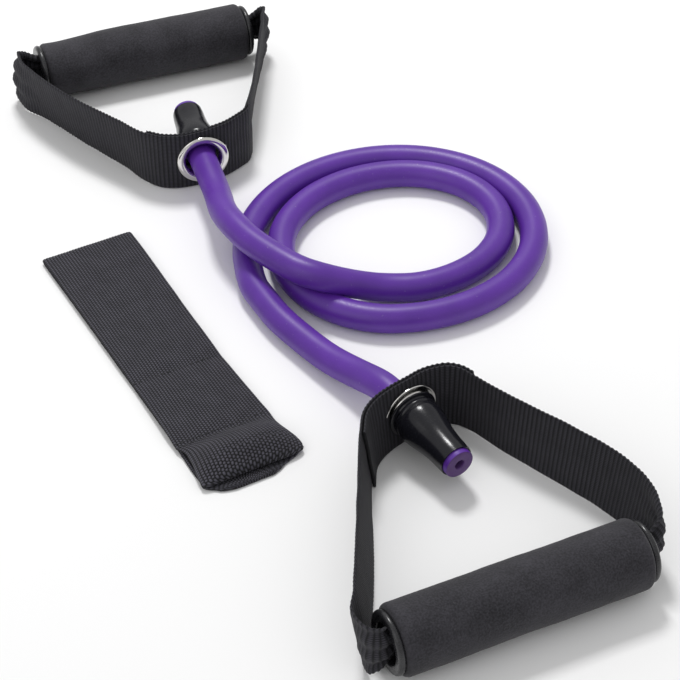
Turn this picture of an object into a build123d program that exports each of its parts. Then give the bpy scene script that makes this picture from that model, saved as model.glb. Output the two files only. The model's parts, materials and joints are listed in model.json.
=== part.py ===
"""Tube resistance band with two D-handles and a door anchor, lying coiled on a flat surface.

Row frame: millimetres, +Z up, the surface it lies on is Z = 0, and +Y runs from the near handle
to the far one. Each handle has its own plane: its x runs along the grip and its y points at the
tube.
"""
from build123d import *
from math import cos, pi, radians, sin, tan
import os

os.makedirs("parts", exist_ok=True)

# ---------------------------------------------------------------- driving dimensions

# Latex tube
TUBE_R = 7.25               # outside radius, unstretched
BORE_R = 2.4                # radius of the hole down its middle
SWELL_R = 10.0              # outside radius where the plug spreads it
TAIL = 42.0                 # from the middle of the grommet to the tube's cut end
STRAIGHT = 28.0             # straight run of tube on the coil's side of the grommet
RUN_Z = 17.0                # height of the tube's axis through the grommets

# Plug, sheath and grommet, measured along the tube from the middle of the webbing
PLUG_BACK, PLUG_FRONT = -21.5, -3.5
PLUG_R = 7.3                # widest radius of the barrel plug
SHEATH_WALL = 0.95
COLLAR_R = 12.4             # widest radius of the sheath, against the grommet
SHEATH_BACK, SHEATH_FRONT = -39.0, -3.55
HOLE_R = 9.3                # inside radius of the grommet
BARREL_R = 10.1             # outside radius of its barrel
EYELET_R = 14.0             # outside radius of its flange, on the tube's side
WASHER_R = 12.9             # outside radius of its washer, on the grip's side
PLAY = 0.25                 # clearance between the grommet and the webbing

# Webbing of the handles
WEB_T = 1.7
WEB_H = 34.0
BUNDLE_W, BUNDLE_H = 7.0, 14.0      # the webbing folded up inside the grip
LEG_START = 16.0                    # where the flat webbing starts, along its leg

# Grip
FOAM_R, FOAM_L = 16.0, 117.0
CORE_R, CORE_BORE_R = 12.2, 10.5
CAP_R, CAP_T = 15.2, 3.4
NECK_BORE_R, NECK_L = 9.2, 9.0
GRIP_Z = FOAM_R                     # the foam rests on the surface

# Door anchor
ANCHOR_W, ANCHOR_L = 50.0, 188.0
ANCHOR_T = 1.6
ANCHOR_GAP = 0.4                    # between the two layers of the loop
SEAM_1, SEAM_2 = -16.0, -65.0       # rows of stitching, from the middle of the anchor
POCKET_TOP = 13.0                   # height of the padded end

# Coil: a loose spiral of nearly two turns
COIL_X, COIL_Y = 81.15, 22.55       # middle of the first turn
DRIFT_X, DRIFT_Y = -2.05, -3.5      # how far the middle moves in one turn
COIL_R = 45.8                       # radius at the start
GROWTH = 17.9                       # radius gained in one turn
OVAL, OVAL_TURN = 4.2, 9.0          # how oval the turns are, and which way
ROUNDER = 1.3                       # how much rounder the coil gets in one turn
PINCH = 1.9                         # how much the turns draw in between start and end
START_DEG, END_DEG = 221.0, 911.0
INNER_DEG = 250.0                   # where the far lead has come down to the first turn


def turn_plane(x, y, degrees):
    """A floor-level plane at (x, y), turned about +Z."""
    return Plane(origin=(x, y, 0), x_dir=(cos(radians(degrees)), sin(radians(degrees)), 0))


class Handle:
    """Where one handle lies, and the outline of its webbing in its own plane."""

    def __init__(self, name, middle, turn, grommet, tube_deg, outer_leg, inner_leg):
        self.name = name
        self.plane = turn_plane(*middle, turn)
        self.grommet = Vector(*grommet)
        self.along = Vector(cos(radians(tube_deg)), sin(radians(tube_deg)))
        self.across = Vector(self.along.Y, -self.along.X)
        self.outer_leg = outer_leg
        self.inner_leg = inner_leg
        start = self.plane.from_local_coords(self.grommet + Vector(0, 0, RUN_Z))
        reach = self.plane.from_local_coords(self.grommet + self.along + Vector(0, 0, RUN_Z))
        self.axis = Axis(start, reach - start)
        # x along the tube away from the grip, y up
        self.tube_plane = Plane(
            origin=start, x_dir=self.axis.direction,
            z_dir=self.axis.direction.cross(Vector(0, 0, 1)))

    def on_tube(self, distance):
        """A point on the tube's axis, measured from the middle of the grommet."""
        return self.axis.position + self.axis.direction * distance

    def at(self, sideways, forward):
        """A point of the webbing's top bend, measured from the grommet, in the handle's plane."""
        point = self.grommet + self.across * sideways + self.along * forward
        return (point.X, point.Y)


# Each leg: points from the grip end up to the top bend, with the radius of each bend
NEAR = Handle(
    "near", middle=(12.25, -230.65), turn=0.0, grommet=(7.0, 122.0), tube_deg=99.5,
    outer_leg=dict(grip=(-77.0, 0.0), bends=[((-28.0, 101.0), 30.0)], corner=(-21.0, 17.0),
                   far_corner=(25.0, 9.0), end=(27.4, -10.0)),
    inner_leg=dict(grip=(75.0, 0.0), bends=[((71.0, 42.0), 30.0), ((46.0, 92.0), 60.0)],
                   corner=(25.0, 9.0), far_corner=(-21.0, 17.0), end=(-28.5, -6.6)))
FAR = Handle(
    "far", middle=(20.0, 226.35), turn=175.6, grommet=(3.1, 112.0), tube_deg=86.0,
    outer_leg=dict(grip=(76.0, 0.0), bends=[((70.0, 20.0), 40.0), ((39.0, 88.0), 40.0)],
                   corner=(22.0, 16.0), far_corner=(-15.0, 11.0), end=(-29.4, -11.1)),
    inner_leg=dict(grip=(-73.0, 0.0), bends=[((-33.0, 93.0), 40.0)], corner=(-15.0, 11.0),
                   far_corner=(22.0, 16.0), end=(28.5, -8.9)))
HANDLES = (NEAR, FAR)


def save(part, name):
    part.label = name
    export_step(part, f"parts/{name}.step")


def turned(handle, outline):
    """Revolve an outline of (distance along the tube, radius) about the tube's axis."""
    with BuildPart() as piece:
        with BuildSketch(handle.tube_plane):
            with BuildLine():
                outline()
            make_face()
        revolve(axis=handle.axis)
    return piece.part


# ---------------------------------------------------------------- tube ends, plugs and sheaths

SWELL = [(-30.0, TUBE_R), (-15.0, SWELL_R), (-8.0, SWELL_R), (-1.5, TUBE_R)]


def tube_end_outline():
    """Cut end, swelling over the plug, and the straight run through the grommet."""
    Polyline(
        (-TAIL, BORE_R), (-TAIL, TUBE_R - 0.4), (0.4 - TAIL, TUBE_R), *SWELL,
        (STRAIGHT, TUBE_R), (STRAIGHT, BORE_R),
        (PLUG_FRONT, BORE_R), (-8.5, PLUG_R), (-14.5, PLUG_R), (PLUG_BACK, BORE_R), close=True)


def plug_outline():
    Polyline((PLUG_BACK, 0), (PLUG_BACK, BORE_R), (-14.5, PLUG_R), (-8.5, PLUG_R),
             (PLUG_FRONT, BORE_R), (PLUG_FRONT, 0), close=True)


def tube_surface(distance):
    """Outside radius of the tube at a distance from the grommet."""
    points = [(-TAIL, TUBE_R), *SWELL, (STRAIGHT, TUBE_R)]
    for (s0, r0), (s1, r1) in zip(points, points[1:]):
        if s0 <= distance <= s1:
            return r0 + (r1 - r0) * (distance - s0) / (s1 - s0)


def sheath_outline():
    """A moulded sleeve, thin at the tube's end, with a round collar against the grommet."""
    back = (SHEATH_BACK, TUBE_R + SHEATH_WALL * 0.8)
    shoulder = (-6.0, COLLAR_R)
    lip = (SHEATH_FRONT, COLLAR_R - 1.2)
    Spline(back, (-30.0, TUBE_R + SHEATH_WALL), (-17.0, SWELL_R + 0.5), (-11.0, 11.3), shoulder,
           tangents=((1, 0), (1, 0)))
    TangentArc(shoulder, lip, tangent=(1, 0))
    Polyline(lip, (SHEATH_FRONT, tube_surface(SHEATH_FRONT)), *reversed(SWELL[:3]),
             (SHEATH_BACK, TUBE_R), back)


# ---------------------------------------------------------------- grommets

WEB_FACE = WEB_T + PLAY     # from the middle of the doubled webbing to the metal


def eyelet_outline():
    """Barrel with a rolled flange on the tube's side and its lip rolled over the washer."""
    roll = 1.9
    face = WEB_FACE
    lip = -WEB_FACE - 0.7
    Polyline((lip, BARREL_R), (-WEB_FACE, BARREL_R), (face, BARREL_R), (face, EYELET_R - 0.5))
    Spline((face, EYELET_R - 0.5), (face + 0.9, EYELET_R), (face + roll, EYELET_R - 2.4),
           (face + 1.0, HOLE_R + 0.5), (face - 0.6, HOLE_R))
    Polyline((face - 0.6, HOLE_R), (lip + 0.2, HOLE_R), (lip - 0.5, HOLE_R + 0.5),
             (lip - 0.5, BARREL_R + 0.9), (lip, BARREL_R + 1.2), (lip, BARREL_R))


def washer_outline():
    """Dished ring under the eyelet's rolled lip."""
    back = -WEB_FACE
    Polyline((back, BARREL_R), (back, WASHER_R), (back - 0.5, WASHER_R), (back - 0.7, WASHER_R - 0.4),
             (back - 0.7, BARREL_R), close=True)


# ---------------------------------------------------------------- webbing


def ribbon(handle, leg, side):
    """One flat run of webbing on edge: a leg, then one layer of the top bend to its cut end."""
    lift = side * WEB_T / 2
    points = [leg["grip"]] + [point for point, _ in leg["bends"]]
    points += [handle.at(leg["corner"][0], lift), handle.at(leg["far_corner"][0], lift)]
    points += [handle.at(leg["end"][0], leg["end"][1] + lift)]
    radii = [radius for _, radius in leg["bends"]]
    radii += [leg["corner"][1] + lift, leg["far_corner"][1] + lift]
    with BuildPart() as strip:
        with BuildSketch(handle.plane):
            with BuildLine():
                FilletPolyline(*points, radius=radii)
            trace(line_width=WEB_T)
        extrude(amount=WEB_H)
    return strip.part


def leg_direction(leg):
    first = Vector(*leg["grip"])
    second = Vector(*leg["bends"][0][0])
    return first, (second - first).normalized()


def gather(handle, leg):
    """Webbing drawn together from the flat leg, round the end of the grip and into its bore."""
    foot, up = leg_direction(leg)
    side = 1 if foot.X > 0 else -1
    mouth = FOAM_L / 2 + CAP_T + 1.0
    turn = (up + Vector(side, 0)).normalized()
    sections = [
        (Vector(side * (mouth - 1.0), 0), Vector(side, 0), BUNDLE_W, BUNDLE_H, GRIP_Z),
        (Vector(side * (mouth + 3.0), 0), Vector(side, 0), BUNDLE_W, BUNDLE_H + 4, GRIP_Z),
        (foot + Vector(-side * 2.2, 2.5), turn, 4.5, WEB_H - 8, GRIP_Z + 0.5),
        (foot + up * LEG_START, up, WEB_T, WEB_H, WEB_H / 2),
    ]
    with BuildPart() as folds:
        for middle, normal, thick, tall, height in sections:
            local = Plane(origin=(middle.X, middle.Y, height), z_dir=(normal.X, normal.Y, 0),
                          x_dir=(normal.Y, -normal.X, 0))
            world = Plane(handle.plane.location * local.location)
            with BuildSketch(world):
                Rectangle(thick, tall)
        loft(ruled=True)
    return folds.part


def webbing(handle):
    """The whole loop: folded through the grip, up both legs and lapped behind the grommet."""
    with BuildPart() as loop:
        add(ribbon(handle, handle.outer_leg, 1))
        add(ribbon(handle, handle.inner_leg, -1))
        # the flat ribbons stop where the gathers take over
        for leg in (handle.outer_leg, handle.inner_leg):
            foot, up = leg_direction(leg)
            middle = foot + up * (LEG_START - 20.0)
            local = Plane(origin=(middle.X, middle.Y, WEB_H / 2), z_dir=(up.X, up.Y, 0),
                          x_dir=(up.Y, -up.X, 0))
            with BuildSketch(Plane(handle.plane.location * local.location)):
                Rectangle(30.0, WEB_H + 2)
            extrude(amount=20.0, mode=Mode.SUBTRACT)
        for leg in (handle.outer_leg, handle.inner_leg):
            add(gather(handle, leg))
        with BuildSketch(handle.plane.offset(GRIP_Z - BUNDLE_H / 2)):
            Rectangle(FOAM_L + 2 * CAP_T + 2.0, BUNDLE_W)
        extrude(amount=BUNDLE_H)
        # hole for the grommet's barrel
        with BuildSketch(Plane(origin=handle.on_tube(-10.0), z_dir=handle.axis.direction)):
            Circle(BARREL_R + PLAY)
        extrude(amount=20.0, mode=Mode.SUBTRACT)
    return loop.part


# ---------------------------------------------------------------- grips


def sleeve(handle, outer, inner, length, rounding=0.0):
    """A tube along the grip, centred on it."""
    face = Plane(origin=(-length / 2, 0, GRIP_Z), z_dir=(1, 0, 0), x_dir=(0, 1, 0))
    with BuildPart() as tube:
        with BuildSketch(Plane(handle.plane.location * face.location)):
            Circle(outer)
            Circle(inner, mode=Mode.SUBTRACT)
        extrude(amount=length)
        if rounding:
            rims = tube.edges().filter_by(GeomType.CIRCLE).group_by(SortBy.RADIUS)[-1]
            fillet(rims, rounding)
    return tube.part


def end_cap(handle, side):
    """Flanged bush pressed into the end of the core, with a rounded mouth for the webbing."""
    end = FOAM_L / 2
    middle = Vector(0, 0, GRIP_Z)
    base = handle.plane.from_local_coords(middle)
    tip = handle.plane.from_local_coords(middle + Vector(side, 0, 0))
    axis = Axis(base, tip - base)
    section = Plane(origin=base, x_dir=axis.direction, z_dir=axis.direction.cross(Vector(0, 0, 1)))
    with BuildPart() as cap:
        with BuildSketch(section):
            with BuildLine():
                Polyline((end - NECK_L, NECK_BORE_R), (end - NECK_L, CORE_BORE_R),
                         (end, CORE_BORE_R), (end, CAP_R - 0.8))
                Spline((end, CAP_R - 0.8), (end + CAP_T / 2, CAP_R), (end + CAP_T, CAP_R - 1.2))
                Polyline((end + CAP_T, CAP_R - 1.2), (end + CAP_T, NECK_BORE_R + 1.2),
                         (end + CAP_T - 1.2, NECK_BORE_R), (end - NECK_L, NECK_BORE_R))
            make_face()
        revolve(axis=axis)
    return cap.part


# ---------------------------------------------------------------- the tube's run and its coil


def coil_point(degrees, height=TUBE_R):
    """A point on the centreline of the loose spiral."""
    turns = (degrees - START_DEG) / 360.0
    radius = (COIL_R + GROWTH * turns - PINCH * sin(pi * turns) ** 2
              + (OVAL - ROUNDER * turns) * cos(2 * radians(degrees - OVAL_TURN)))
    return (COIL_X + DRIFT_X * turns + radius * cos(radians(degrees)),
            COIL_Y + DRIFT_Y * turns + radius * sin(radians(degrees)), height)


def largest_radii(points):
    """For each bend of a route, the largest arc that its two runs allow."""
    radii = []
    for a, b, c in zip(points, points[1:], points[2:]):
        before, after = Vector(*b) - Vector(*a), Vector(*c) - Vector(*b)
        half_turn = radians(before.get_angle(after)) / 2
        radii.append(0.45 * min(before.length, after.length) / tan(half_turn))
    return radii


def cord(name, points):
    """A length of tube along straight runs and tangent arcs."""
    radii = largest_radii(points)
    with BuildPart() as tube:
        with BuildLine():
            path = FilletPolyline(*points, radius=radii)
        with BuildSketch(Plane(origin=path @ 0, z_dir=path % 0)):
            Circle(TUBE_R)
        sweep(path=path)
    expected = path.length * pi * TUBE_R ** 2
    print(f"{name}: radii {[round(r) for r in radii]}, length {path.length:.1f},"
          f" volume {tube.part.volume / expected:.4f} of section times length")
    return tube.part


# The near lead drops from the grommet to the floor and runs up beside the coil
TAIL_Y = 0.3                # where the coil's outside turn becomes the near lead
NEAR_ROUTE = [
    tuple(NEAR.on_tube(STRAIGHT)),
    tuple(NEAR.on_tube(STRAIGHT + 11.0)),
    (5.2, -53.0, 10.5),
    (0.2, -33.0, TUBE_R),
    (-5.0, -14.5, TUBE_R),
    (-5.0, TAIL_Y, TUBE_R),
]
# The far lead climbs onto the coil's outside turn, follows it and comes down inside the coil
HUMP_Z = 23.8
FAR_ROUTE = [
    tuple(FAR.on_tube(STRAIGHT)),
    tuple(FAR.on_tube(STRAIGHT + 8.0)),
    (-2.6, 60.0, 23.0),
    (-2.2, 44.0, HUMP_Z),
    (0.2, 29.0, HUMP_Z),
    (6.5, 13.5, 23.2),
    (12.5, -0.5, 22.8),
    (20.5, -10.5, 21.6),
    (31.5, -13.5, 16.5),
    (43.0, -14.0, 11.4),
    (54.0, -16.0, 8.2),
    coil_point(INNER_DEG, TUBE_R + 0.9),
]
# the lead's own tube ends a third of the way up the climb, and the rest belongs to the coil
CLIMB = tuple(Vector(*FAR_ROUTE[1]) * 0.65 + Vector(*FAR_ROUTE[2]) * 0.35)


def coil():
    """The closed outside shape of the two turns, with the strand that crosses over them."""
    # ellipses around the outside and the inside of the turns
    outside = dict(centre=(72.8, 22.0), radii=(84.2, 73.6))
    inside = dict(centre=(75.0, 24.0), radii=(52.0, 41.0))
    with BuildPart() as ring:
        with BuildSketch():
            with Locations(outside["centre"]):
                Ellipse(*outside["radii"])
            with Locations(inside["centre"]):
                Ellipse(*inside["radii"], mode=Mode.SUBTRACT)
            # the near lead lies here
            with Locations((-23.0, TAIL_Y)):
                Rectangle(29.0, 90.0, align=(Align.MIN, Align.MAX), mode=Mode.SUBTRACT)
        extrude(amount=2 * TUBE_R)
        add(cord("crossing", [CLIMB] + FAR_ROUTE[2:]))
    return ring.part


# ---------------------------------------------------------------- door anchor


def anchor_webbing(plane):
    """A strip folded back on itself, sewn across twice, with a padded end."""
    half = ANCHOR_L / 2
    top = 2 * ANCHOR_T + ANCHOR_GAP
    side = Plane(plane.location * Plane.YZ.offset(-ANCHOR_W / 2).location)
    with BuildPart() as strip:
        with BuildSketch(side):
            with BuildLine():
                Polyline((-half - 2, 0), (half - top / 2, 0))
                ThreePointArc((half - top / 2, 0), (half, top / 2), (half - top / 2, top))
                Polyline((half - top / 2, top), (SEAM_2 + 2, top))
                Spline((SEAM_2 + 2, top), (SEAM_2 - 6, top + 4.4), (SEAM_2 - 15, POCKET_TOP),
                       (-half + 4.0, POCKET_TOP - 2.6), (-half + 0.5, ANCHOR_T + 2.0))
                Polyline((-half + 0.5, ANCHOR_T + 2.0), (-half - 2, ANCHOR_T), (-half - 2, 0))
            make_face()
            with BuildLine():
                Spline((SEAM_2 - 2.5, ANCHOR_T), (SEAM_2 - 7, ANCHOR_T + 4.0),
                       (SEAM_2 - 15, POCKET_TOP - ANCHOR_T),
                       (-half + 5.0, POCKET_TOP - ANCHOR_T - 3.0), (-half + 2.2, ANCHOR_T))
                Line((-half + 2.2, ANCHOR_T), (SEAM_2 - 2.5, ANCHOR_T))
            make_face(mode=Mode.SUBTRACT)
            # the loop's flat gap
            with Locations((SEAM_1 + 2, ANCHOR_T)):
                Rectangle(half - top / 2 - SEAM_1 - 2, ANCHOR_GAP,
                          align=(Align.MIN, Align.MIN), mode=Mode.SUBTRACT)
        extrude(amount=ANCHOR_W)
    return strip.part


def anchor_foam(plane):
    """Foam roll inside the padded end."""
    half = ANCHOR_L / 2
    slack = 0.25
    side = Plane(plane.location * Plane.YZ.offset(-ANCHOR_W / 2 + 1.5).location)
    with BuildPart() as foam:
        with BuildSketch(side):
            with BuildLine():
                Spline((SEAM_2 - 5.0, ANCHOR_T + slack), (SEAM_2 - 8.5, ANCHOR_T + 3.9),
                       (SEAM_2 - 15, POCKET_TOP - ANCHOR_T - slack - 0.2),
                       (-half + 6.5, POCKET_TOP - ANCHOR_T - 4.2), (-half + 4.4, ANCHOR_T + slack))
                Line((-half + 4.4, ANCHOR_T + slack), (SEAM_2 - 5.0, ANCHOR_T + slack))
            make_face()
        extrude(amount=ANCHOR_W - 3.0)
    return foam.part


# ---------------------------------------------------------------- build and write every piece

for handle in HANDLES:
    key = handle.name
    save(turned(handle, tube_end_outline), f"latex_tube_end_{key}")
    save(turned(handle, plug_outline), f"barrel_plug_{key}")
    save(turned(handle, sheath_outline), f"stopper_sheath_{key}")
    save(turned(handle, eyelet_outline), f"grommet_eyelet_{key}")
    save(turned(handle, washer_outline), f"grommet_washer_{key}")
    save(webbing(handle), f"handle_webbing_{key}")
    save(sleeve(handle, CORE_R, CORE_BORE_R, FOAM_L), f"grip_core_{key}")
    save(sleeve(handle, FOAM_R, CORE_R, FOAM_L, rounding=2.0), f"foam_grip_{key}")
    save(end_cap(handle, -1), f"grip_end_cap_left_{key}")
    save(end_cap(handle, 1), f"grip_end_cap_right_{key}")

save(cord("near lead", NEAR_ROUTE), "latex_tube_lead_near")
save(cord("far lead", FAR_ROUTE[:2] + [CLIMB]), "latex_tube_lead_far")
save(coil(), "latex_tube_coil")

ANCHOR_PLANE = turn_plane(-60.55, -7.25, 4.2)
save(anchor_webbing(ANCHOR_PLANE), "door_anchor_webbing")
save(anchor_foam(ANCHOR_PLANE), "door_anchor_foam")
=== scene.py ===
"""Looks of a tube resistance band: coiled latex tube, two webbing handles and a door anchor.

Sizes in the tables below are in millimetres. Each handle has its own plane: its x runs along the
grip and its y points at the tube, and z is the height over the surface that everything lies on.
"""
import json
from math import cos, exp, pi, radians, sin

import bpy
import numpy as np
from mathutils import Matrix, Vector, noise


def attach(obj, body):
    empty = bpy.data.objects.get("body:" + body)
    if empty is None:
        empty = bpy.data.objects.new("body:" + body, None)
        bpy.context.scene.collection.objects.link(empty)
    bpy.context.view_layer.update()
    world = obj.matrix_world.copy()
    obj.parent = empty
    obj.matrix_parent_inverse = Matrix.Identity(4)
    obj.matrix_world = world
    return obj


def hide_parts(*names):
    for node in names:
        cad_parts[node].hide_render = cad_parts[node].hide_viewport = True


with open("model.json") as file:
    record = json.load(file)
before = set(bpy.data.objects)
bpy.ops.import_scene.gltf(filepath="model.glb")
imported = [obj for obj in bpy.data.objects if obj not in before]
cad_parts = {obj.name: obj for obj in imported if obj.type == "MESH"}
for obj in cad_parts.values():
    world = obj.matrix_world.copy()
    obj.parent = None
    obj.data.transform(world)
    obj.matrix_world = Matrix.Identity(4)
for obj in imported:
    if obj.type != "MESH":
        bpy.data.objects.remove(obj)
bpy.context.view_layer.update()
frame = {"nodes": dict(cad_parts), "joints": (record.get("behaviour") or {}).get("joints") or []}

MM = 0.001
JOINTS = {joint["name"]: joint for joint in frame["joints"]}

# ---------------------------------------------------------------- sizes

TUBE_R = 7.25
BORE_R = 2.4
GRIP_Z = 16.0               # height of a grip's axis
FOAM_R, FOAM_L = 16.0, 117.0
CORE_R = 12.2
WEB_W, WEB_T = 34.0, 1.7    # handle webbing
RIB = 2.3                   # from one rib of the webbing to the next
MOUTH_H = 14.0              # height of the folded webbing where it goes into a grip
CURL, CREASE, CREASES = 0.05, 0.045, 3      # how the webbing folds on its way there
GATHER_RISE = 2.0           # how much higher it lies halfway into the folds
LAP_OFFSET = 0.87           # from the middle of the lap to the middle of either layer
SCALLOP = 0.22              # how far each rib stands out at the webbing's edges
FLOOR_GAP = 0.3             # the webbing's middle layer comes no lower than this
ANCHOR_W = 49.0
ANCHOR_RIB = 1.6            # from one cord of the anchor's webbing to the next, across it

# How far the cut end of the tube droops and turns aside behind each grommet, in degrees
SAG = {"near": (-2.2, -2.2), "far": (1.5, -2.5)}

# How far each grip has slipped along the webbing, towards local -x or +x
GRIP_SHIFT = {"near": -2.4, "far": 1.7}


class Handle:
    """Where a handle lies: its grip's axis and its tube's axis, from the joints."""

    def __init__(self, key):
        self.key = key
        grip = JOINTS["grip_spin_" + key]
        swivel = JOINTS["webbing_swivel_" + key]
        middle = Vector(grip["pos_m"]) / MM
        along = Vector(grip["axis"]).normalized()
        up = Vector((0, 0, 1))
        forward = up.cross(along)
        self.plane = placed(Vector((middle.x, middle.y, 0)), along, forward, up)
        # local z runs along the grip's axis
        self.grip = placed(middle + along * GRIP_SHIFT[key], forward, up, along)
        self.tube_start = Vector(swivel["pos_m"]) / MM
        self.tube_axis = Vector(swivel["axis"]).normalized()
        # local z runs along the tube, away from the grip
        self.tube = placed(self.tube_start, up.cross(self.tube_axis), up, self.tube_axis)
        # the cut end of the tube droops and turns a little behind the grommet
        droop, turn = SAG[key]
        self.tail = (self.tube @ Matrix.Rotation(radians(droop), 4, "X")
                     @ Matrix.Rotation(radians(turn), 4, "Y"))

    def on_tube(self, distance):
        """A point on the tube's axis, measured from the middle of the grommet."""
        return tuple(self.tube_start + self.tube_axis * distance)


def placed(origin, x_axis, y_axis, z_axis):
    """A matrix from local millimetres to the row frame in metres."""
    turn = Matrix((x_axis, y_axis, z_axis)).transposed().to_4x4()
    return Matrix.Scale(MM, 4) @ Matrix.Translation(origin) @ turn


NEAR, FAR = Handle("near"), Handle("far")

# ---------------------------------------------------------------- camera, light and floor

# All in metres, degrees and watts
CAMERA_PLACE = (-0.3029, -0.7230, 0.6565)
CAMERA_TILT, CAMERA_HEADING = 49.21, -25.1
LENS_MM, SENSOR_MM = 108.5, 36
SOFTBOXES = [("key softbox", (0.2, 0.75, 1.4), 0.32, 14),
             ("fill softbox", (-1.3, -0.7, 1.2), 1.3, 4)]
DAYLIGHT = 0.6
FLOOR_SIZE, FLOOR_Z = 6, -0.0002
FLOOR_TONE = 0.93


def studio():
    camera = bpy.data.objects.new("camera", bpy.data.cameras.new("camera"))
    camera.location = CAMERA_PLACE
    camera.rotation_euler = (radians(CAMERA_TILT), 0, radians(CAMERA_HEADING))
    camera.data.lens = LENS_MM
    camera.data.sensor_width = SENSOR_MM
    bpy.context.scene.collection.objects.link(camera)
    bpy.context.scene.camera = camera

    for name, place, size, watts in SOFTBOXES:
        light = bpy.data.objects.new(name, bpy.data.lights.new(name, "AREA"))
        light.location = place
        light.rotation_euler = (-Vector(place)).to_track_quat("-Z", "Y").to_euler()
        light.data.size = size
        light.data.energy = watts
        bpy.context.scene.collection.objects.link(light)

    world = bpy.data.worlds.new("studio")
    world.use_nodes = True
    backdrop = world.node_tree.nodes["Background"]
    backdrop.inputs["Color"].default_value = (1, 1, 1, 1)
    backdrop.inputs["Strength"].default_value = DAYLIGHT
    bpy.context.scene.world = world
    bpy.context.scene.view_settings.view_transform = "Standard"

    bpy.ops.object.select_all(action="DESELECT")
    bpy.ops.mesh.primitive_plane_add(size=FLOOR_SIZE, location=(0, 0, FLOOR_Z))
    floor = bpy.context.object
    floor.name = "floor"
    paint = bpy.data.materials.new("pale floor")
    paint.use_nodes = True
    shader = paint.node_tree.nodes["Principled BSDF"]
    shader.inputs["Base Color"].default_value = (FLOOR_TONE, FLOOR_TONE, FLOOR_TONE, 1)
    shader.inputs["Roughness"].default_value = 0.9
    shader.inputs["Specular IOR Level"].default_value = 0.1
    floor.data.materials.append(paint)


# ---------------------------------------------------------------- finishes


class Nodes:
    """Short calls for building a node tree."""

    def __init__(self, tree):
        self.tree = tree

    def add(self, kind, values=(), **settings):
        node = self.tree.nodes.new("ShaderNode" + kind)
        for name, value in settings.items():
            setattr(node, name, value)
        for socket, value in dict(values).items():
            if isinstance(value, bpy.types.NodeSocket):
                self.tree.links.new(value, node.inputs[socket])
            else:
                node.inputs[socket].default_value = value
        return node

    def math(self, operation, first, second=0.0):
        return self.add("Math", {0: first, 1: second}, operation=operation).outputs[0]

    def noise(self, vector, scale, detail=3.0):
        node = self.add("TexNoise", {"Vector": vector, "Scale": scale, "Detail": detail})
        return node.outputs["Fac"]

    def spread(self, value, low, high, new_low=0.0, new_high=1.0):
        node = self.add("MapRange", {"Value": value, "From Min": low, "From Max": high,
                                     "To Min": new_low, "To Max": new_high})
        return node.outputs["Result"]

    def blend(self, share, first, second):
        node = self.add("Mix", {"Factor": share}, data_type="RGBA")
        for socket, value in (("A", first), ("B", second)):
            target = [s for s in node.inputs if s.name == socket and s.type == "RGBA"][0]
            if isinstance(value, bpy.types.NodeSocket):
                self.tree.links.new(value, target)
            else:
                target.default_value = value
        return [s for s in node.outputs if s.type == "RGBA"][0]


def effect(name, inputs, outputs):
    """A new node group with float inputs, after its vector, and float outputs."""
    tree = bpy.data.node_groups.new(name, "ShaderNodeTree")
    tree.interface.new_socket("Vector", in_out="INPUT", socket_type="NodeSocketVector")
    for label, value in inputs.items():
        socket = tree.interface.new_socket(label, in_out="INPUT", socket_type="NodeSocketFloat")
        socket.default_value = value
    for label in outputs:
        tree.interface.new_socket(label, in_out="OUTPUT", socket_type="NodeSocketFloat")
    start = tree.nodes.new("NodeGroupInput")
    end = tree.nodes.new("NodeGroupOutput")
    return tree, Nodes(tree), start, end


def weave_effect():
    """Yarns of a webbing: ribs across it, each made of short staggered stitches along it."""
    tree, n, start, end = effect(
        "webbing weave", {"Rib": RIB, "Yarn": 1.0, "Stagger": 0.5}, ["Height", "Tone"])
    split = n.add("SeparateXYZ", {0: start.outputs["Vector"]})
    row = n.math("DIVIDE", split.outputs["X"], start.outputs["Rib"])
    column = n.math("DIVIDE", split.outputs["Y"], start.outputs["Yarn"])
    odd = n.math("MODULO", n.math("FLOOR", column), 2.0)
    shifted = n.math("ADD", row, n.math("MULTIPLY", odd, start.outputs["Stagger"]))
    bump_row = n.math("SINE", n.math("MULTIPLY", n.math("FRACT", shifted), pi))
    bump_column = n.math("SINE", n.math("MULTIPLY", n.math("FRACT", column), pi))
    round_row = n.math("POWER", bump_row, 0.6)
    round_column = n.math("POWER", bump_column, 0.6)
    yarn = n.math("MULTIPLY", round_row, round_column)
    fibres = n.noise(start.outputs["Vector"], 4.0, 2.0)
    height = n.math("ADD", yarn, n.math("MULTIPLY", fibres, 0.35))
    patches = n.spread(n.noise(start.outputs["Vector"], 0.12), 0.3, 0.7, 0.8, 1.15)
    # lighter on the yarns' tops and darker between them, as painted highlight and painted shade,
    # times slow patches of tone
    painted_yarn_shade_and_patches = n.math("MULTIPLY", n.spread(yarn, 0.35, 0.97, 0.0, 1.0), patches)
    tree.links.new(height, end.inputs["Height"])
    tree.links.new(painted_yarn_shade_and_patches, end.inputs["Tone"])
    return tree


def grain_effect():
    """Fine pores and slow changes of tone in foam, rubber and moulded plastic."""
    tree, n, start, end = effect(
        "fine grain", {"Size": 1.0, "Patch": 20.0}, ["Height", "Tone", "Specks"])
    fine = n.math("DIVIDE", 1.0, start.outputs["Size"])
    broad = n.math("DIVIDE", 1.0, start.outputs["Patch"])
    pores = n.noise(start.outputs["Vector"], fine, 4.0)
    patches = n.noise(start.outputs["Vector"], broad, 2.0)
    dust = n.noise(start.outputs["Vector"], n.math("MULTIPLY", fine, 0.45), 1.0)
    tree.links.new(pores, end.inputs["Height"])
    tree.links.new(n.spread(patches, 0.3, 0.7), end.inputs["Tone"])
    tree.links.new(n.spread(dust, 0.72, 0.8), end.inputs["Specks"])
    return tree


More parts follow.
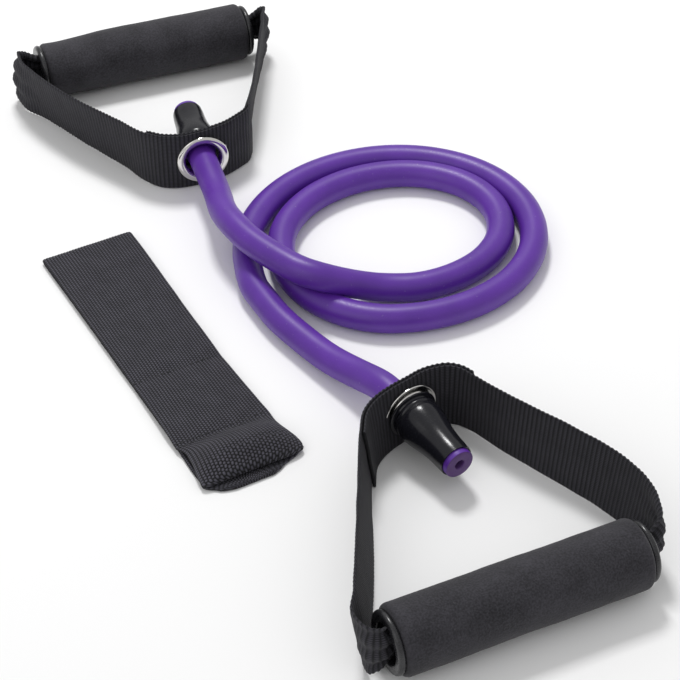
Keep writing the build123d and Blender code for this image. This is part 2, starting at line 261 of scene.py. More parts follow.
def finish(name, roughness, specular=0.5, sheen=0.0):
    """A material with no colour yet, its node helper and its shader."""
    material = bpy.data.materials.new(name)
    material.use_nodes = True
    shader = material.node_tree.nodes["Principled BSDF"]
    shader.inputs["Roughness"].default_value = roughness
    shader.inputs["Specular IOR Level"].default_value = specular
    shader.inputs["Sheen Weight"].default_value = sheen
    return material, Nodes(material.node_tree), shader


def in_millimetres(n, source):
    """Object or UV coordinates, in millimetres."""
    place = n.add("TexCoord").outputs[source]
    return n.add("Mapping", {"Vector": place, "Scale": [1 / MM] * 3}).outputs["Vector"]


def connect(n, shader, colour, height, depth, roughness=None):
    n.tree.links.new(colour, shader.inputs["Base Color"])
    bump = n.add("Bump", {"Height": height, "Distance": depth * MM, "Strength": 1.0})
    n.tree.links.new(bump.outputs["Normal"], shader.inputs["Normal"])
    if roughness is not None:
        n.tree.links.new(roughness, shader.inputs["Roughness"])


def webbing_finish(name, dark, light, rib, yarn, stagger, depth):
    material, n, shader = finish(name, 0.75, specular=0.3, sheen=0.05)
    shader.inputs["Sheen Roughness"].default_value = 0.5
    place = in_millimetres(n, "UV")
    weave = n.add("Group", node_tree=WEAVE)
    for socket, value in (("Rib", rib), ("Yarn", yarn), ("Stagger", stagger)):
        weave.inputs[socket].default_value = value
    n.tree.links.new(place, weave.inputs["Vector"])
    # the dark colour goes between the yarns and the light one on their tops: painted shade and
    # painted highlight
    colour = n.blend(weave.outputs["Tone"], dark, light)
    connect(n, shader, colour, weave.outputs["Height"], depth)
    return material


DUST = (0.5, 0.45, 0.5, 1)
WORN = 0.07                 # how far roughness goes up and down over a grained finish


def grained_finish(name, dark, light, size, patch, depth, roughness, dust=0.0, painted_pore_shade=0.3,
                   **extra):
    material, n, shader = finish(name, roughness, **extra)
    grain = n.add("Group", node_tree=GRAIN)
    grain.inputs["Size"].default_value = size
    grain.inputs["Patch"].default_value = patch
    n.tree.links.new(in_millimetres(n, "Object"), grain.inputs["Vector"])
    # colour follows the grain's slow patches of tone and the pores' height, darker in the pores'
    # hollows as painted shade
    share = n.math("ADD", n.math("MULTIPLY", grain.outputs["Tone"], 1.0 - painted_pore_shade),
                   n.math("MULTIPLY", n.spread(grain.outputs["Height"], 0.35, 0.65), painted_pore_shade))
    colour = n.blend(share, dark, light)
    if dust:
        share = n.math("MULTIPLY", grain.outputs["Specks"], dust)
        colour = n.blend(share, colour, DUST)
    worn = n.spread(grain.outputs["Height"], 0.3, 0.7, roughness - WORN, roughness + WORN)
    connect(n, shader, colour, grain.outputs["Height"], depth, worn)
    return material


def chrome_finish():
    material, n, shader = finish("nickel plate", 0.12)
    shader.inputs["Metallic"].default_value = 1.0
    grain = n.add("Group", node_tree=GRAIN)
    grain.inputs["Size"].default_value = 0.8
    n.tree.links.new(in_millimetres(n, "Object"), grain.inputs["Vector"])
    colour = n.blend(grain.outputs["Tone"], (0.66, 0.64, 0.61, 1), (0.80, 0.79, 0.77, 1))
    scuffs = n.spread(grain.outputs["Height"], 0.35, 0.75, 0.08, 0.22)
    connect(n, shader, colour, grain.outputs["Height"], 0.006, scuffs)
    return material


WEAVE, GRAIN = weave_effect(), grain_effect()
LATEX = grained_finish("purple latex", (0.084, 0.017, 0.275, 1), (0.112, 0.024, 0.345, 1),
                       size=0.7, patch=18, depth=0.015, roughness=0.42, dust=0.15)
CUT_LATEX = grained_finish("cut latex", (0.075, 0.028, 0.14, 1), (0.11, 0.04, 0.20, 1),
                           size=0.4, patch=4, depth=0.04, roughness=0.6)
SHEATH = grained_finish("moulded rubber sheath", (0.006, 0.006, 0.009, 1),
                        (0.010, 0.010, 0.014, 1), size=0.5, patch=9, depth=0.012,
                        roughness=0.22, dust=0.05, specular=0.4)
RING = grained_finish("moulded end ring", (0.014, 0.014, 0.016, 1), (0.022, 0.022, 0.025, 1),
                      size=0.6, patch=8, depth=0.01, roughness=0.28)
# much of the foam's spread from dark to light is painted shade in its pores
FOAM = grained_finish("grip foam", (0.010, 0.0095, 0.012, 1), (0.047, 0.045, 0.054, 1),
                      size=0.9, patch=14, depth=0.22, roughness=0.85, dust=0.03,
                      painted_pore_shade=0.6, specular=0.3, sheen=0.10)
CORE = grained_finish("grip core plastic", (0.03, 0.03, 0.03, 1), (0.04, 0.04, 0.04, 1),
                      size=0.6, patch=10, depth=0.01, roughness=0.5)
CHROME = chrome_finish()
# each webbing's light colour is the painted highlight on its yarns' tops, and its dark colour the
# painted shade between them
WEBBING = webbing_finish("handle webbing", (0.004, 0.004, 0.006, 1), (0.044, 0.042, 0.053, 1),
                         RIB, 0.9, 0.0, 0.18)
ANCHOR_WEBBING = webbing_finish("anchor webbing", (0.004, 0.004, 0.005, 1),
                                (0.085, 0.082, 0.104, 1), 1.35, ANCHOR_RIB, 0.5, 0.35)
THREAD = grained_finish("black thread", (0.008, 0.008, 0.010, 1), (0.02, 0.02, 0.024, 1),
                        size=0.2, patch=5, depth=0.02, roughness=0.6)

# ---------------------------------------------------------------- the latex tube

# The turns lie where the tube's solids do. Their radius grows steadily, and they are a little oval.
COIL_X, COIL_Y = 81.15, 22.55
DRIFT_X, DRIFT_Y = -2.05, -3.5
COIL_R, GROWTH = 45.8, 17.9
OVAL, OVAL_TURN, ROUNDER = 4.2, 9.0, 1.3
PINCH = 1.9
START_DEG = 221.0
INNER_DEG, OUTER_DEG = 250.0, 899.0     # where the leads join the turns
LOOSE, LOOSE_DEG, LOOSE_SPAN = 2.8, 582.0, 24.0     # the second turn stands off here
POINTS_IN_A_TURN = 14
# a spline whose control points lie on a circle runs inside it, so they are spread by this much
SPREAD = 4 / (3 + cos(2 * pi / POINTS_IN_A_TURN))
HUMP_Z = 23.4               # the tube's middle where it crosses over its own turns


def coil_point(degrees):
    """A control point of the coil, so many degrees round it."""
    turns = (degrees - START_DEG) / 360.0
    radius = (COIL_R + GROWTH * turns - PINCH * sin(pi * turns) ** 2
              + (OVAL - ROUNDER * turns) * cos(2 * radians(degrees - OVAL_TURN))
              + LOOSE * exp(-((degrees - LOOSE_DEG) / LOOSE_SPAN) ** 2)) * SPREAD
    return (COIL_X + DRIFT_X * turns + radius * cos(radians(degrees)),
            COIL_Y + DRIFT_Y * turns + radius * sin(radians(degrees)), TUBE_R)


def tube_route():
    """Control points from the near handle, round the coil and over it to the far handle."""
    near_lead = [
        NEAR.on_tube(-10.0), NEAR.on_tube(14.0), (15.2, -86.5, 15.9), (11.3, -71.0, 11.2),
        (5.2, -53.0, 8.1), (0.2, -33.0, TUBE_R), (-4.1, -14.5, TUBE_R), (-5.1, 3.0, TUBE_R),
    ]
    step = 360.0 / POINTS_IN_A_TURN
    count = int((OUTER_DEG - INNER_DEG) / step) + 1
    turns = [coil_point(OUTER_DEG - step * i) for i in range(count)]
    far_lead = [
        (54.0, -15.6, 7.6), (43.5, -12.6, 10.2), (31.5, -11.6, 16.0), (20.5, -9.5, 21.6),
        (12.0, -2.0, HUMP_Z), (5.8, 12.5, HUMP_Z), (0.0, 29.0, HUMP_Z), (-2.4, 44.0, HUMP_Z),
        (-2.6, 60.0, 21.8), FAR.on_tube(36.0), FAR.on_tube(20.0), FAR.on_tube(-10.0),
    ]
    return near_lead + turns + far_lead


def latex_tube():
    curve = bpy.data.curves.new("latex_tube", "CURVE")
    curve.dimensions = "3D"
    route = tube_route()
    spline = curve.splines.new("NURBS")
    spline.points.add(len(route) - 1)
    for point, place in zip(spline.points, route):
        point.co = (*(Vector(place) * MM), 1.0)
    spline.order_u = 3
    spline.use_endpoint_u = True
    spline.resolution_u = 12
    curve.bevel_depth = TUBE_R * MM
    curve.bevel_resolution = 10
    curve.use_fill_caps = True
    tube = bpy.data.objects.new("latex_tube", curve)
    bpy.context.scene.collection.objects.link(tube)
    curve.materials.append(LATEX)
    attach(tube, "tube")
    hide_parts("latex_tube_coil", "latex_tube_lead_near", "latex_tube_lead_far")
    Vector(NEAR.on_tube(0)) * MM


# ---------------------------------------------------------------- tools for the pieces


def smoothed(table, step):
    """Even steps along a smooth line through a table's rows, whose first two columns are places."""
    rows = np.array(table, dtype=float)
    lengths = np.hypot(*np.diff(rows[:, :2], axis=0).T)
    at = np.concatenate([[0.0], np.cumsum(lengths)])
    slopes = np.gradient(rows, at, axis=0)
    fine = np.linspace(0.0, at[-1], int(at[-1] / 0.1))
    i = np.clip(np.searchsorted(at, fine, side="right") - 1, 0, len(at) - 2)
    span = (at[i + 1] - at[i])[:, None]
    t = (fine[:, None] - at[i][:, None]) / span
    curve = ((2 * t**3 - 3 * t**2 + 1) * rows[i] + (t**3 - 2 * t**2 + t) * span * slopes[i]
             + (3 * t**2 - 2 * t**3) * rows[i + 1] + (t**3 - t**2) * span * slopes[i + 1])
    walked = np.concatenate([[0.0], np.cumsum(np.hypot(*np.diff(curve[:, :2], axis=0).T))])
    even = np.linspace(0.0, walked[-1], int(walked[-1] / step) + 1)
    return even, np.stack([np.interp(even, walked, column) for column in curve.T], axis=1)


def roughness_of(points, scale, depth):
    """A soft unevenness for every point of an array."""
    flat = points.reshape(-1, 3) / scale
    return depth * np.array([noise.noise(Vector(p)) for p in flat]).reshape(points.shape[:-1])


def in_frame(points, place):
    """Local millimetres to the row frame in metres."""
    matrix = np.array(place)
    return points @ matrix[:3, :3].T + matrix[:3, 3]


def new_piece(name, vertices, faces, material, uv=None):
    mesh = bpy.data.meshes.new(name)
    mesh.from_pydata(vertices.tolist(), [], faces)
    mesh.materials.append(material)
    if uv is not None:
        layer = mesh.uv_layers.new(name="UVMap")
        corners = np.empty(len(mesh.loops), dtype=np.int32)
        mesh.loops.foreach_get("vertex_index", corners)
        layer.data.foreach_set("uv", uv[corners].astype(np.float32).ravel())
    mesh.shade_smooth()
    piece = bpy.data.objects.new(name, mesh)
    bpy.context.scene.collection.objects.link(piece)
    return piece


def woven(name, place, middle, thick, along, across, material):
    """A closed strip of webbing: a grid of points down its middle, given its thickness."""
    rows, columns = middle.shape[:2]
    lengthwise, widthwise = np.gradient(middle, axis=0), np.gradient(middle, axis=1)
    normal = np.cross(lengthwise, widthwise)
    normal /= np.linalg.norm(normal, axis=2, keepdims=True)
    offset = normal * thick[..., None]
    points = np.concatenate([(middle + offset).reshape(-1, 3), (middle - offset).reshape(-1, 3)])
    size = rows * columns
    index = np.arange(size).reshape(rows, columns)

    def quads(a, b, c, d):
        return np.stack([a, b, c, d], axis=-1).reshape(-1, 4)

    face = quads(index[:-1, :-1], index[1:, :-1], index[1:, 1:], index[:-1, 1:])
    low, high = index[:, 0], index[:, -1]
    start, end = index[0], index[-1]
    faces = np.concatenate([
        face, face[:, ::-1] + size,
        quads(low[:-1], low[:-1] + size, low[1:] + size, low[1:]),
        quads(high[1:], high[1:] + size, high[:-1] + size, high[:-1]),
        quads(start[1:], start[1:] + size, start[:-1] + size, start[:-1]),
        quads(end[:-1], end[:-1] + size, end[1:] + size, end[1:])])
    uv = np.stack(np.meshgrid(along * MM, across * MM, indexing="ij"), axis=-1).reshape(-1, 2)
    return new_piece(name, in_frame(points, place), faces.tolist(), material,
                     np.concatenate([uv, uv]))


def edit(piece):
    bpy.ops.object.select_all(action="DESELECT")
    piece.select_set(True)
    bpy.context.view_layer.objects.active = piece
    bpy.ops.object.mode_set(mode="EDIT")


TURNED_SIDES = 96


def turned(name, place, outline, material, closed=True, edges=35):
    """A circle extruded along its axis and resized, step by step, as on a lathe."""
    (first, radius), *steps = outline
    bpy.ops.object.select_all(action="DESELECT")
    bpy.ops.mesh.primitive_circle_add(vertices=TURNED_SIDES, radius=radius, location=(0, 0, 0))
    piece = bpy.context.object
    piece.name = piece.data.name = name
    bpy.ops.object.mode_set(mode="EDIT")
    height = 0.0
    for distance, new_radius in steps + ([outline[0]] if closed else []):
        rise = distance - first - height
        bpy.ops.mesh.extrude_region_move(TRANSFORM_OT_translate={"value": (0, 0, rise)})
        if new_radius != radius:
            share = new_radius / radius
            bpy.ops.transform.resize(value=(share, share, 1))
        height, radius = distance - first, new_radius
    bpy.ops.mesh.select_all(action="SELECT")
    bpy.ops.mesh.remove_doubles(threshold=0.005)
    if not closed:
        bpy.ops.mesh.fill_holes(sides=0)
    bpy.ops.mesh.select_all(action="SELECT")
    bpy.ops.mesh.normals_make_consistent(inside=False)
    bpy.ops.object.mode_set(mode="OBJECT")
    bpy.ops.object.shade_smooth_by_angle(angle=radians(edges))
    for modifier in list(piece.modifiers):
        bpy.ops.object.modifier_apply(modifier=modifier.name)
    piece.data.transform(place @ Matrix.Translation((0, 0, first)))
    piece.data.materials.append(material)
    return piece


def round_run(centre, radius, start, end, count):
    """Points of an arc in an outline of (distance, radius)."""
    angles = [radians(start + (end - start) * i / (count - 1)) for i in range(count)]
    return [(centre[0] + radius * cos(a), centre[1] + radius * sin(a)) for a in angles]


def kept_as(piece, body, slot, *nodes):
    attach(piece, body)
    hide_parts(*nodes)


def spline_outline(points, step):
    """Even steps of a smooth outline through a few points."""
    return [tuple(row) for row in smoothed(points, step)[1]]


# ---------------------------------------------------------------- tube ends, sheaths and grommets

CUT_Z = -42.0               # the tube's cut end, along its tail
CUT_EDGE = 0.5              # how far the cut end's edges are rounded


def tube_end(handle):
    """The tube's end: swollen over its plug, then plain up to the cut, with the bore open."""
    swell = spline_outline([(1.0, 6.6), (-1.5, 7.2), (-4.5, 8.7), (-8.0, 10.0), (-15.0, 10.0),
                            (-22.0, 8.7), (-30.0, TUBE_R)], 1.2)
    rim = round_run((CUT_Z + CUT_EDGE, TUBE_R - CUT_EDGE), CUT_EDGE, 90, 180, 4)
    mouth = round_run((CUT_Z + CUT_EDGE, BORE_R + CUT_EDGE), CUT_EDGE, 180, 270, 4)
    end = turned("tube_end_" + handle.key, handle.tail,
                 swell + [(-36.0, TUBE_R)] + rim + mouth + [(-22.0, BORE_R)], LATEX, closed=False)
    end.data.materials.append(CUT_LATEX)
    back = handle.tail.inverted()
    for face in end.data.polygons:
        middle = back @ face.center
        if middle.z < CUT_Z + 0.2 or middle.xy.length < BORE_R + CUT_EDGE:
            face.material_index = 1
    kept_as(end, "tube", "latex", "latex_tube_end_" + handle.key)


def sheath(handle):
    """The moulded cone over the swollen end: its outside, the step before its collar, its inside."""
    outer = spline_outline([(-39.2, 8.05), (-37.0, 8.25), (-30.0, 8.5), (-24.0, 9.1), (-19.0, 10.1),
                            (-15.0, 10.9), (-11.5, 11.3), (-9.6, 11.2)], 1.0)
    step = [(-9.3, 11.0), (-9.1, 11.0)] + round_run((-7.2, 9.9), 1.4, 140, 60, 6) + [(-5.6, 10.7)]
    collar = [(-5.0, 11.0), (-4.75, 11.9)] + round_run((-4.2, 12.0), 0.5, 150, 0, 7)
    inner = [(-3.65, 8.3), (-8.0, 10.02), (-15.0, 10.02), (-22.0, 8.75), (-30.0, 7.3), (-38.8, 7.3),
             (-39.2, 7.5)]
    piece = turned("sheath_" + handle.key, handle.tail, outer + step + collar + inner, SHEATH)
    kept_as(piece, "tube", "sheath", "stopper_sheath_" + handle.key)


FACE = WEB_T + 0.25         # from the middle of the doubled webbing to the metal
HOLE_R, BARREL_R = 9.3, 10.1


def grommet(handle):
    """A rolled eyelet through both layers of webbing, and the washer that it is set into."""
    flange = spline_outline([(FACE, 13.5), (FACE + 0.3, 13.95), (FACE + 1.0, 14.0),
                             (FACE + 1.7, 13.2), (FACE + 1.95, 11.8), (FACE + 1.6, 10.5),
                             (FACE + 0.6, 9.6), (FACE - 0.6, HOLE_R)], 0.35)
    lip = round_run((-FACE - 0.7, HOLE_R + 1.0), 1.0, 270, 90, 9)
    barrel = [(-FACE - 0.7, HOLE_R)] + lip + [(-FACE - 0.7, BARREL_R), (FACE, BARREL_R)]
    eyelet = turned("eyelet_" + handle.key, handle.tube, flange + barrel, CHROME, edges=50)
    kept_as(eyelet, "grommet_" + handle.key, "grommet", "grommet_eyelet_" + handle.key)
    rim = (round_run((-FACE - 0.35, 13.9), 0.45, 0, 180, 9)
           + [(-FACE - 0.5, 13.2), (-FACE - 0.35, 12.8)])
    washer = turned("washer_" + handle.key, handle.tube,
                    [(-FACE, BARREL_R)] + rim + [(-FACE - 0.7, BARREL_R)], CHROME)
    kept_as(washer, "grommet_" + handle.key, "grommet", "grommet_washer_" + handle.key)


# ---------------------------------------------------------------- grips

FOAM_EDGE = 2.6             # radius of the sleeve's rounded ends
FOAM_FACE_R = 12.9          # the flat of each end goes out to here


def end_ring(handle, side):
    """The glossy ring on one end of a grip's core, with a rounded mouth for the webbing."""
    end = FOAM_L / 2
    rim = round_run((end + 1.7, 12.6), 1.7, 160, 0, 12)
    mouth = round_run((end + 2.2, 10.4), 1.2, 0, -90, 6)
    outline = ([(end - 9.0, 9.2), (end - 9.0, 10.5), (end + 0.1, 10.5), (end + 0.1, 12.8)]
               + rim + mouth)
    name = ("left_" if side < 0 else "right_") + handle.key
    piece = turned("end_ring_" + name, handle.grip, [(side * s, r) for s, r in outline], RING)
    kept_as(piece, "grip_" + handle.key, "end_cap", "grip_end_cap_" + name)


def foam_outline():
    """Half a section along the foam sleeve: up one end, along the outside and back by the bore."""
    half = FOAM_L / 2
    outer = np.linspace(-half + FOAM_EDGE, half - FOAM_EDGE, 90)
    left_edge = round_run((-half + FOAM_EDGE, FOAM_R - FOAM_EDGE), FOAM_EDGE, 180, 90, 8)
    right_edge = round_run((half - FOAM_EDGE, FOAM_R - FOAM_EDGE), FOAM_EDGE, 90, 0, 8)
    return ([(-half, CORE_R), (-half, FOAM_FACE_R)] + left_edge
            + [(s, FOAM_R) for s in outer[1:-1]]
            + right_edge + [(half, FOAM_FACE_R), (half, CORE_R)]
            + [(s, CORE_R) for s in np.linspace(half, -half, 12)[1:-1]])


def foam_grip(handle, dents):
    """A thick foam sleeve, a little uneven along its length, with rounded ends.

    Each dent says where it is along the grip, at what angle, how far it reaches and how deep it is.
    """
    sides = 128
    s, r = np.array(foam_outline()).T
    angle = np.linspace(0.0, 2 * pi, sides, endpoint=False)
    turn = angle[None, :]
    points = np.stack([r[:, None] * np.cos(turn), r[:, None] * np.sin(turn),
                       np.repeat(s[:, None], sides, axis=1)], axis=2)
    skin = (r > CORE_R + 0.3)[:, None]
    uneven = (roughness_of(points, 22.0, 0.35) + roughness_of(points, 6.0, 0.10)) * skin
    for place, towards, reach, depth in dents:
        gap = np.hypot(points[..., 2] - place, FOAM_R * (turn - towards))
        uneven = uneven - depth * np.exp(-(gap / reach) ** 2) * skin
    points[..., :2] *= ((r[:, None] + uneven) / r[:, None])[..., None]
    index = np.arange(points.shape[0] * sides).reshape(-1, sides)
    ahead, beside = np.roll(index, -1, axis=0), np.roll(index, -1, axis=1)
    both = np.roll(ahead, -1, axis=1)
    faces = np.stack([index, beside, both, ahead], axis=-1).reshape(-1, 4)
    world = in_frame(points.reshape(-1, 3), handle.grip)
    world[:, 2] = np.maximum(world[:, 2], 0.0)
    piece = new_piece("foam_" + handle.key, world, faces.tolist(), FOAM)
    edit(piece)
    bpy.ops.mesh.select_all(action="SELECT")
    bpy.ops.mesh.normals_make_consistent(inside=False)
    bpy.ops.object.mode_set(mode="OBJECT")
    kept_as(piece, "grip_" + handle.key, "foam", "foam_grip_" + handle.key)


# ---------------------------------------------------------------- handle webbing

# Where each strip goes in its handle's plane: x, y, how far its top leans out over its foot, how
# tall it stands. A crown is the lap behind the grommet, which both strips of a handle share.
NEAR_CROWN = [(-24.5, 99, 5.2, 34), (-17.5, 110.5, 5, 34), (-8.3, 117.2, 4.5, 34),
              (7, 122, 4, 34), (21.5, 124.3, 4, 34), (28.5, 123, 3, 34), (33, 119.3, 2, 34),
              (35.5, 114.5, 1, 34)]
FAR_CROWN = [(30, 102.5, 1.5, 34), (24, 108.5, 0, 34), (16, 111.8, 0, 34), (3.1, 112, 0, 34),
             (-10, 109.5, 0, 34), (-20, 105, 0, 34), (-25.5, 101.5, 0, 34), (-29, 96, 0, 34)]
NEAR_OUTER = [(-45, 0, 0, 14), (-57, 0.5, 0, 15), (-63, -2, 0, 19.5), (-67.5, -4.5, 1, 25),
              (-72, -3.0, 2, 30), (-73.5, 5, 5, 33.5), (-66.5, 17, 7, 34), (-56.2, 36.4, 7.5, 34),
              (-38.9, 71.4, 6.5, 34)]
NEAR_INNER = [(45, 0, 0, 14), (55, 0, 0, 15), (61.5, -1.5, 0, 19), (66.5, 0.5, 0.5, 25),
              (69.6, 10, 3, 31), (70.4, 24, 4, 34), (67.3, 40, 4.5, 34), (58.7, 61, 4, 34),
              (43.4, 93.5, 2, 34)]
FAR_OUTER = [(45, 0, 0, 14), (57, 0, 0, 15), (64, -1.5, 0, 18), (70, -3.5, -0.5, 21.5),
             (75.3, -1, -2.5, 26.5), (76, 10, 0, 32), (70, 24, 5, 34), (56.8, 53.8, 6.5, 34),
             (39.5, 86, 4, 34)]
FAR_INNER = [(-45, 0, 0, 14), (-54, 0, 0, 14.5), (-62, -1, 0, 17), (-67.5, -1, 0, 21),
             (-70.0, 4, 0, 27), (-65.5, 13, 1, 33), (-53.5, 38.5, 3, 34), (-41, 67, 3.5, 34),
             (-31.5, 88, 2, 34)]


def outward_of(places, side):
    """The direction out of the loop, at every point of a line round it."""
    slope = np.gradient(places, axis=0)
    slope /= np.linalg.norm(slope, axis=1, keepdims=True)
    return side * np.stack([-slope[:, 1], slope[:, 0]], axis=1)


def selvedge_of(share, sharpness):
    """Full thickness across a strip, falling off at its two edges."""
    return np.maximum(1 - np.abs(2 * share - 1) ** sharpness, 0.1) ** 0.5


def punched(piece, handle):
    """Cuts the grommet's hole through a strip."""
    bpy.ops.object.select_all(action="DESELECT")
    bpy.ops.mesh.primitive_cylinder_add(vertices=96, radius=BARREL_R + 0.25, depth=30)
    punch = bpy.context.object
    punch.data.transform(handle.tube)
    hole = piece.modifiers.new("hole", "BOOLEAN")
    hole.object, hole.operation, hole.solver = punch, "DIFFERENCE", "EXACT"
    bpy.context.view_layer.objects.active = piece
    bpy.ops.object.modifier_apply(modifier="hole")
    bpy.data.objects.remove(punch)


def handle_strip(handle, name, leg, crown, layer):
    """One end of the loop: out of the grip, up its leg and over the lap behind the grommet."""
    side = 1 if leg[0][0] < 0 else -1
    lap = np.array(crown if crown[0][0] * side < 0 else crown[::-1], dtype=float)
    lap[:, :2] += layer * outward_of(lap[:, :2], side)
    along, line = smoothed(leg + lap.tolist(), RIB / 6)
    place, lean, tall = line[:, :2], line[:, 2], np.minimum(line[:, 3], WEB_W)
    outward = outward_of(place, side)
    share = np.linspace(0.0, 1.0, 35)
    # the gathered webbing curls its edges in and has small folds across it
    fold = np.sqrt(WEB_W ** 2 - tall ** 2)
    sideways = (lean[:, None] * (share - 0.5)
                - CURL * fold[:, None] * np.cos(2 * pi * share)[None, :]
                + CREASE * fold[:, None] * np.sin(2 * pi * CREASES * share + 0.6)[None, :])
    spread = (tall - MOUTH_H) / (WEB_W - MOUTH_H)
    height = GRIP_Z + spread + GATHER_RISE * np.sin(pi * spread)
    scallop = SCALLOP * np.cos(2 * pi * along / RIB)[:, None] * (2 * share - 1) ** 9
    middle = np.empty((len(along), len(share), 3))
    middle[..., :2] = place[:, None, :] + outward[:, None, :] * sideways[..., None]
    middle[..., 2] = height[:, None] + (share - 0.5) * tall[:, None] + scallop
    middle[..., :2] += outward[:, None, :] * roughness_of(middle, 9.0, 0.25)[..., None]
    middle[..., 2] = np.maximum(middle[..., 2], FLOOR_GAP)
    rib = 0.5 + 0.5 * np.cos(2 * pi * along / RIB)
    thick = (0.55 + 0.32 * rib[:, None]) * selvedge_of(share, 16)[None, :]
    piece = woven(name, handle.plane, middle, thick, along, share * WEB_W, WEBBING)
    punched(piece, handle)
    kept_as(piece, "webbing_" + handle.key, "webbing", "handle_webbing_" + handle.key)


# ---------------------------------------------------------------- door anchor

ANCHOR_MIDDLE, ANCHOR_TURN = (-61.8, -7.25), 4.0
SEAMS = [(-16.0, 2.35), (-63.2, 2.3), (-65.6, 2.3)]     # y and z of each row of stitches
# The strip from its lower end, round the loop, over both seams and over the pad: y, z, height of
# the pad under it, left edge, right edge
ANCHOR_PATH = [(-100, 0.9, 0, -12, 8), (-98.6, 0.8, 0, -17.5, 12), (-96.8, 0.8, 0, -20, 15),
               (-94, 0.8, 0, -24, 23), (-88, 0.8, 0, -24.4, 24), (-60, 0.8, 0, -24, 23.8),
               (-16, 0.8, 0, -24, 22.3), (60, 0.8, 0, -24.2, 24), (88, 0.8, 0, -24.4, 24.5),
               (92.3, 1.0, 0, -24.4, 24.5), (93.8, 1.85, 0, -24.4, 24.5),
               (92.3, 2.75, 0, -24.4, 24.5), (88, 2.95, 0, -24.4, 24.5), (60, 2.9, 0, -24.4, 24),
               (20, 2.9, 0, -24.3, 22.8), (-11, 2.75, 0, -24.2, 22.2), (-16, 2.35, 0, -24.2, 22.2),
               (-21, 2.75, 0, -24.2, 22.2), (-40, 3.1, 0, -24.5, 22.6), (-59, 2.7, 0, -25, 23.6),
               (-63.2, 2.3, 0, -25, 24), (-65.6, 2.3, 0, -25, 24), (-68, 2.8, 0.6, -24, 23.6),
               (-71.5, 3.0, 3.2, -23, 23.4), (-76, 3.0, 6.6, -23, 24), (-81, 2.9, 8.2, -23.6, 25.4),
               (-86.5, 2.7, 7.8, -24.6, 26.8), (-91, 2.4, 5.2, -25, 27), (-94, 2.1, 2.2, -24, 25),
               (-94.6, 1.9, 1.0, -22, 23)]
MOUTH_RIDGE, MOUTH_STEP = 0.45, 2.4     # puckered rows beside the pad's open end
MOUTH_Y, PAD_LOW = -84.0, 0.9           # they lie beyond here, where the pad is thicker than this
UPPER_Z = 1.8                           # the strap's upper layer lies above here


def door_anchor():
    """A strap folded in two, its ends sewn round a pad."""
    forward = Vector((-sin(radians(ANCHOR_TURN)), cos(radians(ANCHOR_TURN)), 0))
    up = Vector((0, 0, 1))
    place = placed(Vector((*ANCHOR_MIDDLE, 0)), forward.cross(up), forward, up)
    along, line = smoothed(ANCHOR_PATH, 1.0)
    columns = int(ANCHOR_W / ANCHOR_RIB) * 4 + 1
    share = np.linspace(0.0, 1.0, columns)
    y, z, pad, left, right = (column[:, None] for column in line.T)
    arch = np.maximum(1 - np.abs(2 * share - 1) ** 2.6, 0.0) ** 0.8
    middle = np.empty((len(along), columns, 3))
    middle[..., 0] = left + (right - left) * share
    middle[..., 1] = y
    puckered = (pad > PAD_LOW) * (y < MOUTH_Y)
    ridge = MOUTH_RIDGE * np.sin(2 * pi * y / MOUTH_STEP) * puckered
    middle[..., 2] = z + (pad + ridge) * arch
    middle[..., 2] += np.abs(roughness_of(middle, 16.0, 0.5)) * (z > UPPER_Z)
    rib = np.abs(np.sin(pi * share * ANCHOR_W / ANCHOR_RIB))
    across = (0.50 + 0.25 * rib) * selvedge_of(share, 30)
    thick = np.repeat(across[None, :], len(along), axis=0)
    piece = woven("anchor_strap", place, middle, thick, along, share * ANCHOR_W, ANCHOR_WEBBING)
    kept_as(piece, "door_anchor", "anchor_webbing", "door_anchor_webbing", "door_anchor_foam")
    seam_stitches(place)


STITCHES_IN_ROW, STITCH_STEP, FIRST_STITCH_X = 18, 2.55, -23.4
STITCH_LIFT = 0.72          # from the strap's middle layer up to the thread


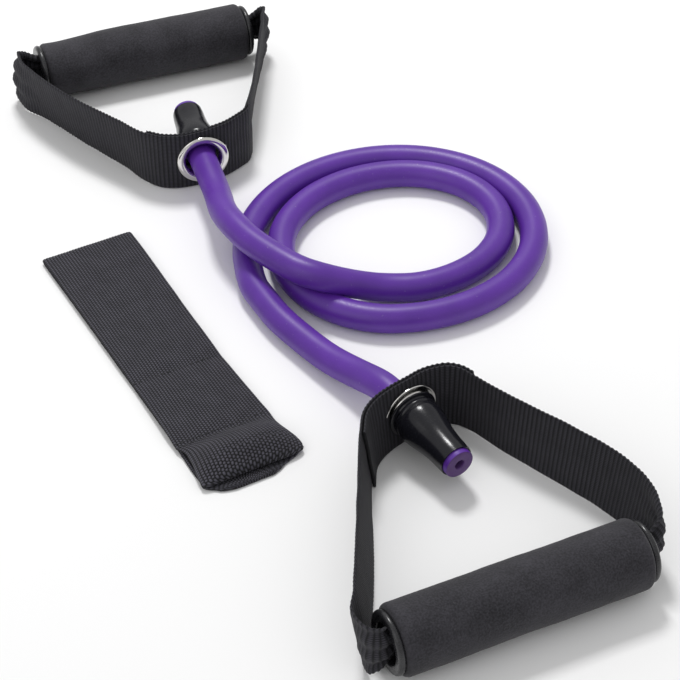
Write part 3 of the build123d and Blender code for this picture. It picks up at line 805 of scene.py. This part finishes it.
def seam_stitches(place):
    """Rows of short stitches across the strap, each a copy of one."""
    bpy.ops.object.select_all(action="DESELECT")
    bpy.ops.mesh.primitive_uv_sphere_add(segments=10, ring_count=6, radius=1.0)
    pattern = bpy.context.object
    pattern.data.transform(Matrix.Diagonal((1.15, 0.33, 0.3, 1)))
    stitches = []
    for y, z in SEAMS:
        for i in range(STITCHES_IN_ROW):
            stitch = pattern.copy()
            stitch.data = pattern.data.copy()
            x = FIRST_STITCH_X + i * STITCH_STEP
            lift = z + STITCH_LIFT + 0.1 * noise.noise(Vector((x, y, 0)))
            turn = Matrix.Rotation(0.12 * noise.noise(Vector((y, x, 3))), 4, "Z")
            stitch.data.transform(place @ Matrix.Translation((x, y, lift)) @ turn)
            bpy.context.scene.collection.objects.link(stitch)
            stitches.append(stitch)
    bpy.data.objects.remove(pattern)
    bpy.ops.object.select_all(action="DESELECT")
    for stitch in stitches:
        stitch.select_set(True)
    bpy.context.view_layer.objects.active = stitches[0]
    bpy.ops.object.join()
    seam = bpy.context.object
    seam.name = seam.data.name = "anchor_stitches"
    seam.data.materials.clear()
    seam.data.materials.append(THREAD)
    bpy.ops.object.shade_smooth()
    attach(seam, "door_anchor")


# ---------------------------------------------------------------- everything

studio()
latex_tube()
for handle in (NEAR, FAR):
    tube_end(handle)
    sheath(handle)
    grommet(handle)
    for side in (-1, 1):
        end_ring(handle, side)
foam_grip(NEAR, [(-20.0, 1.2, 9.0, 0.5)])
foam_grip(FAR, [(50.0, 1.5, 17.0, 2.2), (22.0, 1.5, 6.0, -0.4), (-15.0, 0.4, 12.0, 0.4)])
handle_strip(NEAR, "webbing_outer_near", NEAR_OUTER, NEAR_CROWN, LAP_OFFSET)
handle_strip(NEAR, "webbing_inner_near", NEAR_INNER, NEAR_CROWN, -LAP_OFFSET)
handle_strip(FAR, "webbing_outer_far", FAR_OUTER, FAR_CROWN, LAP_OFFSET)
handle_strip(FAR, "webbing_inner_far", FAR_INNER, FAR_CROWN, -LAP_OFFSET)
door_anchor()

# The grips' cores and the tube's plugs stay as they are, and only get a finish
for name, node in frame["nodes"].items():
    if "core" in name or "plug" in name:
        for material_slot in node.material_slots:
            material_slot.material = CORE
